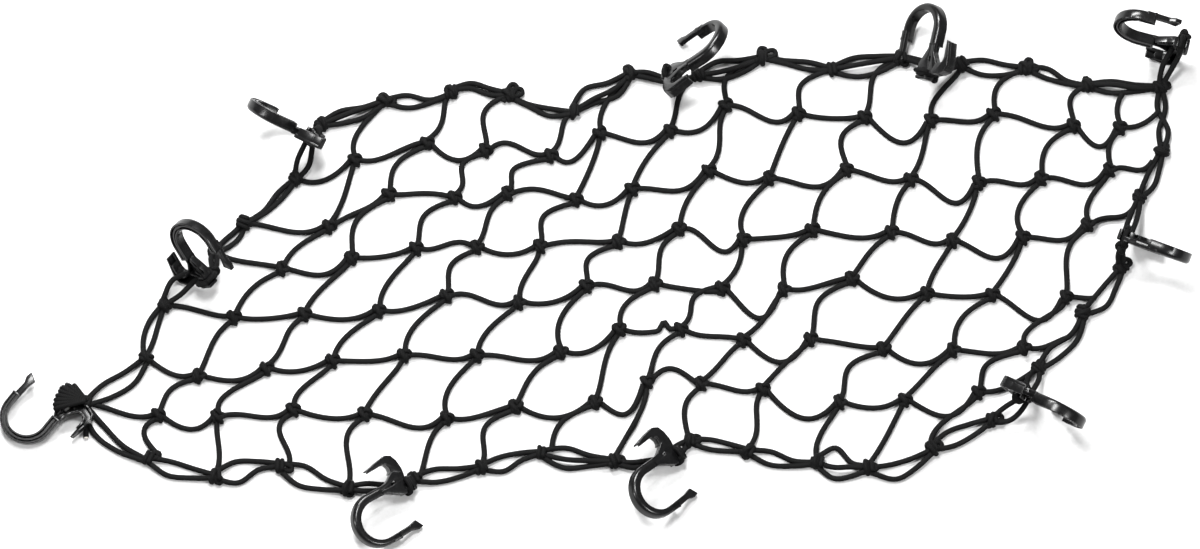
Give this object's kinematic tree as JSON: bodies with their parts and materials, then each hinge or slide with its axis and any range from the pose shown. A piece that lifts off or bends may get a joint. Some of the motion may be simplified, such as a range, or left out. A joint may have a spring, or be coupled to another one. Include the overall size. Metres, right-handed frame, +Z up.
{
  "type": "elastic cargo net with hooks",
  "caption": "Knotted black elastic cord cargo net lying flat and slightly slack, with a doubled edge cord and moulded plastic hooks lashed round its rim.",
  "frame": {"origin": "centre of the bounding box, on the surface that the net lies on", "axes": "+X along the long side, to the right in the picture; +Y from the near edge to the far edge; +Z up, away from the surface"},
  "size_m": [1.036, 0.4979, 0.0799],
  "materials": {
    "cord": "braided polyester sheath over elastic, matt black with a faint sheen",
    "hook_plastic": "moulded black plastic, semi-gloss with fine scuffs"
  },
  "bodies": {
    "root": {"net_mesh": "cord", "border_top": "cord", "border_bottom": "cord", "border_left": "cord", "border_right": "cord", "hook_1": "hook_plastic", "hook_2": "hook_plastic", "hook_3": "hook_plastic", "hook_4": "hook_plastic", "hook_5": "hook_plastic", "hook_6": "hook_plastic", "hook_7": "hook_plastic", "hook_8": "hook_plastic", "hook_9": "hook_plastic", "hook_10": "hook_plastic"}
  },
  "joints": []
}
